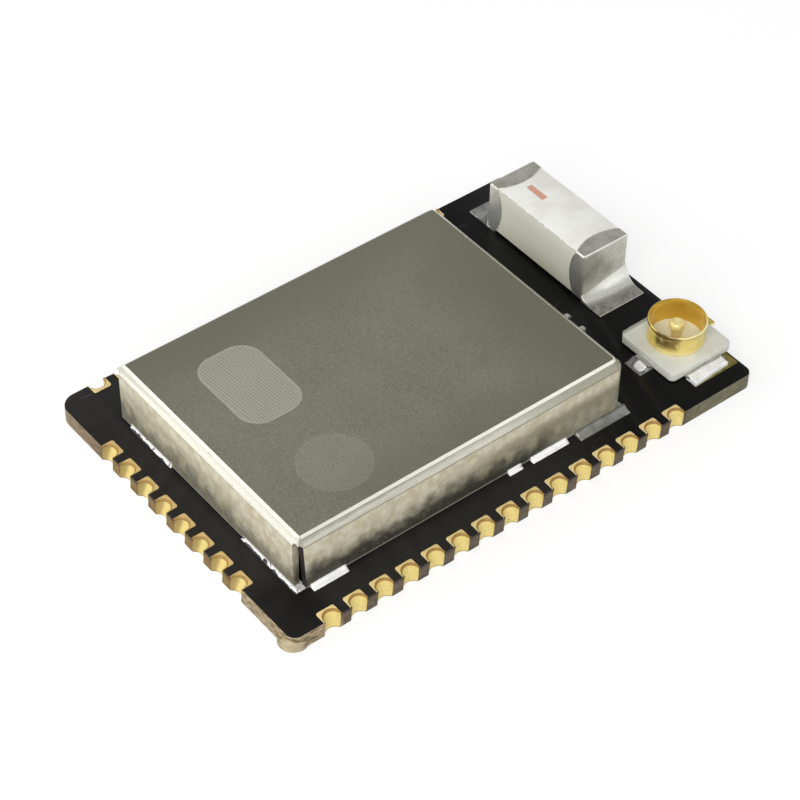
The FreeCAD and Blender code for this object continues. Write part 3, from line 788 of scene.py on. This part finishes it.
def signal_solder():
    """The signal tail's joint: a grey wetted pad with one drop in its middle, painted bright as a highlight
    and ringed with painted shade.
    """
    made = Finish("signal_solder")
    cloud = made.noise(0.2)
    gap = made.from_axis(SIGNAL_DROP) + (cloud - 0.5) * 0.16
    drop = gap.fade(0.24, 0.18)
    rim = gap.band(0.27, 0.05, 0.02)
    made.start(cloud.fade(0.35, 0.65), (124, 124, 122), (160, 160, 156))
    # Painted highlight on the drop, and painted shade in a ring round it.
    made.tint(drop, 255, 255, 252)
    made.tint(rim * 0.4, 90, 90, 88)
    return made.done(drop + cloud * 0.3, 0.03, roughness=0.36 - 0.14 * drop, metallic=0.4)


def bare_pad_painted_shade():
    """Copper pad left bare beside the solder: thin gold, painted dark olive as shade, with darker grain."""
    made = Finish("bare_pad_painted_shade")
    cloud = made.noise(0.3)
    grain = made.noise(0.04, detail=2)
    # Painted shade: the gold plating as a dark olive.
    made.start(cloud.fade(0.3, 0.7), (120, 110, 52), (158, 144, 84))
    made.tint(grain.fade(0.55, 0.8) * 0.4, 80, 72, 36)
    return made.done(grain, 0.008, roughness=0.4 + 0.2 * grain, metallic=0.6)


def housing_resin():
    """Off-white moulded resin with a fine moulded grain and a little handling dust, painted whiter as light
    on the floor inside the barrel.
    """
    made = Finish("housing_resin")
    cloud = made.noise(0.8)
    grain = made.noise(0.05, detail=2)
    made.start(cloud.fade(0.35, 0.7), (224, 225, 216), (212, 212, 202))
    made.tint(grain.fade(0.6, 0.8) * 0.15, 176, 172, 160)
    # Painted light: the floor inside the barrel whiter.
    made.tint(made.from_axis(BARREL_CENTRE).fade(0.93, 0.89), 250, 252, 232)
    far_edge = made.y.fade(-2.74, -2.70) * made.normal_part("Z").fade(0.5, 0.8)
    made.tint(far_edge * 0.8, 160, 158, 148)
    return made.done(grain * 0.6 + cloud * 0.4, 0.006, roughness=0.5 + 0.1 * grain)


def pin_gold_painted_light():
    """The pin's domed head, in a copy of the gold painted brighter than the barrel as light."""
    made = Finish("pin_gold_painted_light")
    smear = made.noise(0.12)
    # Painted light: a brighter copy of the gold, with little metal.
    made.start(smear.fade(0.35, 0.7), (255, 246, 176), (244, 214, 130))
    return made.done(smear, 0.01, roughness=0.18 + 0.1 * smear, metallic=0.2)


def barrel_gold():
    """Hard gold on turned brass: deep yellow, with fine turning lines round the barrel and small smears,
    painted shade inside, painted highlights on the near lip, the front and a ring low on the front, and a
    painted dark reflection on the left of the waist.
    """
    made = Finish("barrel_gold")
    turning = made.noise(0.03, detail=2, at=made.stretch(0.06, 0.06, 1.0))
    smear = made.noise(0.35)
    made.start(smear.fade(0.35, 0.7), (248, 226, 122), (238, 206, 92))
    radius = made.from_axis(BARREL_CENTRE)
    # Painted shade: the inside of the barrel a darker gold.
    made.tint(radius.fade(0.938, 0.93), 222, 184, 84)
    # Painted highlight on the near side of the lip.
    near_lip_highlight = made.z.fade(1.77, 1.82) * made.y.fade(-4.2, -4.5)
    made.tint(near_lip_highlight * 0.6, 255, 244, 186)
    outside = radius.fade(0.94, 0.955)
    # Painted light: the front of the barrel paler.
    front = outside * made.y.fade(-3.7, -4.1)
    made.tint(front * 0.35, 255, 240, 176)
    # Painted reflection: a dark patch on the left of the barrel's waist.
    dark_reflection = outside * made.x.fade(7.72, 7.56) * made.y.fade(-3.8, -4.0)
    dark_reflection = dark_reflection * made.z.fade(1.12, 1.42) * smear.fade(0.25, 0.5)
    made.tint(dark_reflection * 0.8, 104, 74, 26)
    # Painted highlight: a bright ring low on the front.
    foot_highlight = front * made.z.band(1.12, 0.07, 0.03)
    made.tint(foot_highlight * 0.6, 255, 246, 190)
    return made.done(turning * 0.5 + smear * 0.5, 0.006,
                     roughness=0.14 + 0.12 * smear, metallic=0.8 - 0.2 * near_lip_highlight - 0.15 * front)


def chip_black(name, low, high):
    """Moulded epoxy: near-black, finely frosted, a little paler where it rubs."""
    made = Finish(name)
    grain = made.noise(0.04, roughness=0.7)
    cloud = made.noise(0.6, detail=2)
    made.start(grain.fade(0.3, 0.75), low, high)
    return made.done(grain, 0.01, roughness=0.55 + 0.2 * cloud)


def board():
    """The board, cast from its solid: rounded upper rims, resist on its faces, laminate at its edges."""
    piece = cast("circuit_board", "module_board")

    def at_height(edge, height):
        return all(abs(corner.co.z - height) < 1e-4 for corner in edge.verts)

    def sides_of(edge):
        return [face for face in edge.link_faces if abs(face.normal.z) < 0.5]

    def upper_rim(edge):
        return at_height(edge, BOARD_TOP) and len(edge.link_faces) == 2 and len(sides_of(edge)) > 0

    def stub_rim(edge):
        below = [face for face in sides_of(edge) if face.calc_center_median().z < STUB_TOP]
        return at_height(edge, STUB_TOP) and len(below) > 0

    with Shaping(piece) as shape:
        shape.bevel(stub_rim, 0.1, 3, clamp=True)
    with Shaping(piece) as shape:
        shape.bevel(upper_rim, 0.025, 2, clamp=True)

    def coated(face):
        return abs(face.normal.z) > 0.8 and (face.center.z > BOARD_TOP - 0.02 or face.center.z < 0.1)

    cover(piece, [(solder_mask(), coated), (laminate_edge(), None)])
    return finish(piece, ["circuit_board"])


def plated_half_hole():
    """One contact at the origin, open towards -Y: a pad, the plated wall of the half-hole and a foot."""
    pad = block("contact_model", (-PAD_HALF, 0.004, 0), (PAD_HALF, PAD_DEPTH, PAD_TOP))
    foot = block("contact_foot", (-PAD_HALF, 0.01, 0), (PAD_HALF, FOOT_DEPTH, FOOT_TOP))
    with Shaping(pad) as shape:
        shape.bevel(lambda edge: upright(edge) and middle_of(edge).y > 0.1, PAD_CORNER, 3)
        shape.bevel(lambda edge: middle_of(edge).z > PAD_TOP - 0.001 and middle_of(edge).y > 0.01, 0.012, 2)
    cut(pad, bore_tool())
    cut(foot, bore_tool())
    return join(pad, foot)


def bore_tool():
    """The drilled and plated bore: a little narrower at its foot, with a rolled rim at its top."""
    x, y, radius = BORE_TOP
    foot_x, foot_y, foot_radius = BORE_FOOT
    flared = [(foot_radius, -0.02), (radius, 0.55), (radius + 0.006, 0.585), (radius + 0.02, 0.612),
              (radius + 0.04, 0.627), (radius + 0.06, 0.6301), (radius + 0.06, 1.5)]
    tool = turned("flared_bore", x, y, flared, False, 64)
    with Shaping(tool) as shape:
        shape.shift(lambda corner: corner.co.z < 0.1, foot_x - x, foot_y - y, 0)
    return tool


def on_bore_rim(face):
    """True for the rolled rim between the pad and the half-hole's wall."""
    centre = face.center
    from_bore = math.hypot(centre.x - BORE_TOP[0], centre.y - BORE_TOP[1])
    return 0.05 < face.normal.z < 0.995 and from_bore < BORE_TOP[2] + 0.06 and centre.z > 0.56


def contact_places():
    """Place and turn of every half-hole: the near row, the far row and the short row."""
    places = []
    for y, turn in ((-SHORT_SIDE, 0), (SHORT_SIDE, 180)):
        for number in range(LONG_COUNT):
            places.append((LONG_FIRST + number * PITCH, y, turn))
    for number in range(SHORT_COUNT):
        places.append((-LONG_SIDE, SHORT_FIRST + number * PITCH, -90))
    return places


def contacts():
    model = plated_half_hole()
    plating = gold_plating("gold_plating", (255, 234, 168), (246, 214, 140), 0.34)
    # Shaded and lit copies of one plating: painted shade on the bore's rolled rim and, slightly, on its wall,
    # and a painted highlight along the pads' top edges.
    rim = gold_plating("gold_rim_shade", (184, 146, 74), (146, 108, 48), 0.3)
    wall = gold_plating("gold_wall_shade", (246, 229, 154), (229, 206, 126), 0.38)
    worn = gold_plating("gold_edge_highlight", (252, 244, 212), (240, 226, 184), 0.4)

    def on_wall(face):
        from_bore = math.hypot(face.center.x, face.center.y)
        return abs(face.normal.z) < 0.45 and from_bore < BORE_TOP[2] + 0.035 and face.center.y > 0.006

    def on_pad_edge(face):
        return 0.05 < face.normal.z < 0.995 and face.center.z > 0.5

    def on_front(face):
        return face.normal.y < -0.9 and face.center.y < 0.006

    cover(model, [(rim, on_bore_rim), (worn, on_pad_edge), (bpy.data.materials["laminate_edge"], on_front),
                  (wall, on_wall), (plating, None)])
    for number, (x, y, turn) in enumerate(contact_places(), 1):
        name = f"plated_contact_{number:02d}"
        finish(twin(model, name, x, y, turn), [nearest_contact(x, y)])
    bpy.data.objects.remove(model)


def nearest_contact(x, y):
    """The CAD contact that stands at this place."""
    def gap(node):
        low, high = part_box(node)
        middle = (low + high) / 2 / UNIT
        return math.hypot(middle.x - x, middle.y - y)
    return min((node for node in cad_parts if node.startswith("contact_")), key=gap)


def shield_can():
    """Drawn sheet can: bevelled lid, a pressed crease below the bend, open below, with parted corners."""
    can = block("drawn_can", CAN_LOW, CAN_HIGH)
    middle = [(a + b) / 2 for a, b in zip(CAN_LOW, CAN_HIGH)]
    shrunk = [1 - CREASE_DEPTH / (b - a) * 2 for a, b in zip(CAN_LOW[:2], CAN_HIGH[:2])]
    with Shaping(can) as shape:
        shape.bevel(lambda edge: upright(edge) and middle_of(edge).x > 0, CAN_CORNER, 4)
        shape.bevel(lambda edge: middle_of(edge).z > CAN_HIGH[2] - 0.01, CAN_BEND, 1)
        for height in (CREASE - 0.025, CREASE - 0.008, CREASE + 0.008):
            shape.bisect((0, 0, height), (0, 0, 1))
        shape.pick("VERT", lambda corner: abs(corner.co.z - (CREASE - 0.008)) < 1e-4)
        bpy.ops.transform.resize(value=(*shrunk, 1), center_override=middle)
    inner_low = (CAN_LOW[0] + CAN_SHEET, CAN_LOW[1] + CAN_SHEET, CAN_LOW[2] - 1)
    inner_high = (CAN_HIGH[0] - CAN_SHEET, CAN_HIGH[1] - CAN_SHEET, CAN_HIGH[2] - CAN_SHEET)
    cut(can, block("can_inside", inner_low, inner_high))
    left, right, near, far = CAN_LOW[0], CAN_HIGH[0], CAN_LOW[1], CAN_HIGH[1]
    for y_low, y_high in ((near - 1, near + SLIT_DEPTH), (far - SLIT_DEPTH, far + 1)):
        cut(can, arched("corner_slit", (left - 1, y_low, 0), (left + SLIT_WIDTH, y_high, SLIT_TOP)))
    for y_low, y_high in ((near + 0.4, near + 0.5), (far - 0.5, far - 0.4)):
        cut(can, block("corner_slit", (right - CAN_SHEET - 0.02, y_low, 0), (right + 1, y_high, SLIT_TOP)))
    soften(can, 0.02, 2, 30)

    def in_shade(face):
        centre = face.center
        out = max(left - centre.x, centre.x - right, near - centre.y, centre.y - far)
        inside = out < 0.01 - CAN_SHEET and centre.z < CAN_HIGH[2] - 0.1
        parted = centre.x < left + 0.4 and face.normal.x < -0.9 and centre.x > left + 0.1
        return inside or parted

    cover(can, [(lid_tin(), lambda face: face.normal.z > 0.97 and face.center.z > 2.7),
                (bend_tin(), lambda face: face.center.z > CREASE + 0.03 and face.normal.z > 0.1),
                (seam_shade(), in_shade),
                (wall_tin(), None)])
    return finish(can, ["shield_can"], angle=20)


def arched(name, low, high):
    """A block that narrows upwards at its +X end, with its two upper end edges rounded."""
    piece = block(name, low, high)

    def upper_right(corner):
        return corner.co.z > high[2] - 0.001 and corner.co.x > high[0] - 0.001

    def upper_end(edge):
        return middle_of(edge).z > high[2] - 0.001 and abs(edge.verts[0].co.x - edge.verts[1].co.x) < 1e-4

    with Shaping(piece) as shape:
        shape.shift(upper_right, -0.15, 0, 0)
        shape.bevel(upper_end, 0.1, 4)
    return piece


def outer_faces(place):
    """On how many of the antenna block's outer faces a place lies."""
    count = 0
    for axis in range(3):
        if min(abs(place[axis] - ANTENNA_LOW[axis]), abs(place[axis] - ANTENNA_HIGH[axis])) < 1e-3:
            count += 1
    return count


def on_outer_edge(edge):
    """True for a terminal's edge that lies on an edge of the block."""
    places = (edge.verts[0].co, edge.verts[1].co, middle_of(edge))
    return all(outer_faces(place) >= 2 for place in places)


def antenna():
    ceramic = block("antenna_body", [a + 0.03 for a in ANTENNA_LOW], [b - 0.03 for b in ANTENNA_HIGH])
    soften(ceramic, 0.05, 3)
    finish(ceramic, ["antenna_block"], antenna_ceramic())
    tin = terminal_tin()
    for node in ("antenna_terminal_near", "antenna_terminal_far"):
        cap = cast(node, node.replace("antenna_", "plated_"))
        with Shaping(cap) as shape:
            shape.bevel(on_outer_edge, 0.09, 4)
        finish(cap, [node], tin)


def turned(name, x, y, profile, closed, sides=BARREL_SIDES):
    """A ring drawn through the profile's radii and heights, back to its start or filled at both ends."""
    deselect()
    radius, height = profile[0]
    fill = "NOTHING" if closed else "NGON"
    bpy.ops.mesh.primitive_circle_add(vertices=sides, radius=radius, fill_type=fill, location=(x, y, height))
    piece = bpy.context.active_object
    piece.name = name
    settle(piece)
    with Shaping(piece) as shape:
        shape.pick("EDGE")
        for next_radius, next_height in profile[1:]:
            rise = (0, 0, next_height - height)
            bpy.ops.mesh.extrude_edges_move(TRANSFORM_OT_translate={"value": rise})
            ratio = next_radius / radius
            bpy.ops.transform.resize(value=(ratio, ratio, 1), center_override=(x, y, next_height))
            radius, height = next_radius, next_height
        if not closed:
            bpy.ops.mesh.edge_face_add()
        shape.pick("VERT")
        bpy.ops.mesh.remove_doubles(threshold=0.0005)
        bpy.ops.mesh.normals_make_consistent(inside=False)
    return piece


def receptacle():
    """The receptacle: a turned barrel on flat legs, a turned pin with its tail, and a moulded housing."""
    x, y = BARREL_CENTRE
    shell = turned("receptacle_barrel", x, y, BARREL_PROFILE, True)
    join(shell, soften(block("stub_leg", *STUB_LEG_BOX), 0.03))
    finish(shell, ["connector_shell"], barrel_gold())
    tin = solder("tinned_leg", (206, 206, 198), (150, 150, 142), 0.2)

    def flat(name, box):
        finish(soften(block(name, *box), 0.03), [], tin)

    def chamfered(edge):
        return upright(edge) and middle_of(edge).x < x and middle_of(edge).y > y

    flat("ground_leg_near", NEAR_LEG_BOX)
    flat("ground_leg_far", FAR_LEG_BOX)
    pin = turned("receptacle_pin", x, y, PIN_PROFILE, False)
    finish(pin, ["connector_pin"], pin_gold_painted_light())
    flat("signal_tail", TAIL_BOX)
    plate = block("receptacle_housing", *HOUSING_BOX)
    with Shaping(plate) as shape:
        shape.bevel(chamfered, 0.16, 1)
        shape.bevel(lambda edge: upright(edge) and not chamfered(edge), 0.2, 4)
    soften(plate, 0.04, 3)
    finish(plate, ["connector_housing"], housing_resin())


def clouds():
    """Soft lumps that the solder swells by."""
    texture = bpy.data.textures.new("solder_lumps", "CLOUDS")
    texture.noise_scale = LUMP_SIZE
    texture.noise_depth = 2
    return texture


def roughen(piece, lumps, strength):
    """Cuts a piece's faces at even steps along each level axis, and swells them by the lumps."""
    low = [min(corner.co[axis] for corner in piece.data.vertices) for axis in range(3)]
    high = [max(corner.co[axis] for corner in piece.data.vertices) for axis in range(3)]
    with Shaping(piece) as shape:
        for axis in (0, 1):
            count = int((high[axis] - low[axis]) / LUMP_PITCH)
            for step in range(1, count + 1):
                place = [0, 0, 0]
                place[axis] = low[axis] + (high[axis] - low[axis]) * step / (count + 1)
                normal = [0, 0, 0]
                normal[axis] = 1
                shape.bisect(place, normal)
    return apply_modifier(piece, "DISPLACE", texture=lumps, strength=strength, texture_coords="LOCAL")


def ground_bead(bright, lumps):
    """The near ground joint: a bead of solder over the leg's tip, on a pad that stays bare round it."""
    pad = block("ground_pad", *GROUND_PAD_BOX)
    with Shaping(pad) as shape:
        shape.bevel(upright, 0.06, 3)
    finish(pad, [], bare_pad_painted_shade())
    bead = block("ground_solder_near", *GROUND_BEAD_BOX)
    with Shaping(bead) as shape:
        shape.bevel(lambda edge: middle_of(edge).z > 0.7, 0.07, 4)
        shape.shift(lambda corner: corner.co.x > 8.5 and corner.co.y < -5.6, 0, 0.1, 0)
    finish(roughen(bead, lumps, BEAD_LUMPS), ["ground_joint_near"], bright, angle=60)


def far_ground_bead(grey):
    """The far ground joint: a low bead that hardly shows behind the housing."""
    bead = soften(block("ground_solder_far", *FAR_BEAD_BOX), 0.05, 3)
    finish(bead, ["ground_joint_far"], grey, angle=60)


def antenna_bead():
    """The antenna's near joint: a concave ramp of solder that climbs the end face, higher towards +X."""
    (left, front, foot), (right, back, top) = RAMP_BOX
    ramp = block("antenna_solder_near", *RAMP_BOX)
    rows = [front + (back - front) * step / RAMP_ROWS for step in range(1, RAMP_ROWS + 1)]
    with Shaping(ramp) as shape:
        for row in rows[:-1]:
            shape.bisect((0, row, 0), (0, 1, 0))
        for step, row in enumerate(rows, 1):
            for side, climb in zip((left, right), RAMP_CLIMB):
                def on_row(corner):
                    gap = math.hypot(corner.co.x - side, corner.co.y - row)
                    return gap < 1e-3 and corner.co.z > (foot + top) / 2

                shape.shift(on_row, 0, 0, climb * (step / RAMP_ROWS) ** 4)
    soften(ramp, 0.03, 2, 50)
    finish(ramp, ["antenna_joint_near"], climbing_solder(), angle=60)


def solder_joints():
    bright = solder("bright_solder", (240, 240, 236), (196, 196, 190), 0.2)
    grey = solder("frosted_solder", (168, 169, 164), (118, 119, 114), 0.34)
    # Painted highlight: near-white solder with little metal, for the beads along the can and at the near
    # ground leg.
    white = solder("bead_solder_highlight", (255, 255, 253), (236, 236, 232), 0.2, 0.1)
    broken = broken_solder()
    lumps = clouds()
    ground_bead(white, lumps)
    far_ground_bead(grey)
    antenna_bead()
    finishes = {"signal_joint": signal_solder(), "antenna_joint_far": grey, "can_joint_06": grey,
                "can_joint_01": broken, "can_joint_02": broken, "can_joint_03": white, "can_joint_04": white,
                "can_joint_05": white}
    beads = ("ground_joint_near", "ground_joint_far", "antenna_joint_near")
    for node in sorted(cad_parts):
        if "joint" in node and node not in beads:
            flat = node in ("can_joint_01", "can_joint_03", "signal_joint")
            piece = cast(node, node.replace("joint", "solder"))
            roughen(piece, lumps, FLAT_LUMPS if flat else ROUGH_LUMPS)
            finish(piece, [node], finishes.get(node, bright), angle=60)


def small_parts():
    """The small chip beside the can, between its two tinned caps, and the radio chip that the can covers."""
    body = soften(block("resistor_body", *CHIP_BODY_BOX), 0.02)
    near_cap = soften(block("resistor_near_cap", *CHIP_NEAR_CAP_BOX), 0.03)
    far_cap = soften(block("resistor_far_cap", *CHIP_FAR_CAP_BOX), 0.03)
    tin = solder("chip_cap_tin", (206, 206, 198), (150, 150, 142), 0.3)
    body.data.materials.append(chip_black("chip_glaze", (22, 22, 22), (42, 42, 40)))
    near_cap.data.materials.append(tin)
    far_cap.data.materials.append(tin)
    finish(join(body, near_cap, far_cap), ["small_chip"])
    chip = soften(cast("radio_chip", "covered_radio_chip"), 0.08, 2)
    finish(chip, ["radio_chip"], chip_black("chip_epoxy", (26, 26, 27), (46, 46, 46)))


def floor():
    """White floor that keeps the object's shadow."""
    deselect()
    bpy.ops.mesh.primitive_plane_add(size=6, location=(0, 0, -0.00001))
    sheet = bpy.context.active_object
    sheet.name = "studio_floor"
    made = Finish("floor_white")
    rays = made.node("LightPath")
    seen = made.most(made.out(rays, "Is Camera Ray"), made.out(rays, "Is Glossy Ray"))
    seen = made.most(seen, made.out(rays, "Is Transmission Ray"))
    made.wear(base_color=tone(168, 168, 168), roughness=0.9, emission_color=(1, 1, 1, 1))
    made.feed(made.shader.inputs["Emission Strength"], seen * 0.66)
    sheet.data.materials.append(made.material)


def lamp(name, direction, distance, width, height, radiance):
    """A softbox that faces the object from this direction."""
    data = bpy.data.lights.new(name, "AREA")
    data.shape = "RECTANGLE"
    data.size = width * UNIT
    data.size_y = height * UNIT
    data.energy = radiance * math.pi * width * height * UNIT * UNIT
    made = bpy.data.objects.new(name, data)
    bpy.context.scene.collection.objects.link(made)
    way = Vector(direction).normalized()
    made.location = way * distance * UNIT
    made.rotation_euler = way.to_track_quat("Z", "Y").to_euler()


def studio():
    """A pale room with a darker ceiling, and three softboxes."""
    world = bpy.data.worlds.new("studio_room")
    bpy.context.scene.world = world
    world.use_nodes = True
    room = Network(world.node_tree)
    way = room.out(room.node("TexCoord"), "Generated")
    rise = room.out(room.node("SeparateXYZ", {}, {"Vector": way}), "Z")
    shade = room.node("ValToRGB", {"stops": ROOM_STOPS}, {0: rise})
    light = room.node("Background", {}, {"Color": room.out(shade, "Color")})
    room.node("OutputWorld", {}, {"Surface": room.out(light, "Background")})
    for name, settings in SOFTBOXES.items():
        lamp(name, *settings)


def camera():
    data = bpy.data.cameras.new("photo_camera")
    data.lens = CAMERA_LENS
    data.clip_start = UNIT
    data.clip_end = 100
    made = bpy.data.objects.new("photo_camera", data)
    bpy.context.scene.collection.objects.link(made)
    place = Vector(CAMERA_PLACE) * UNIT
    back = place - Vector(CAMERA_AIM) * UNIT
    turn = back.to_track_quat("Z", "Y").to_matrix().to_4x4()
    made.matrix_world = Matrix.Translation(place) @ turn @ Matrix.Rotation(math.radians(CAMERA_ROLL), 4, "Z")
    bpy.context.scene.camera = made


board()
contacts()
shield_can()
antenna()
receptacle()
solder_joints()
small_parts()
floor()
studio()
camera()
bpy.context.scene.view_settings.view_transform = "Standard"
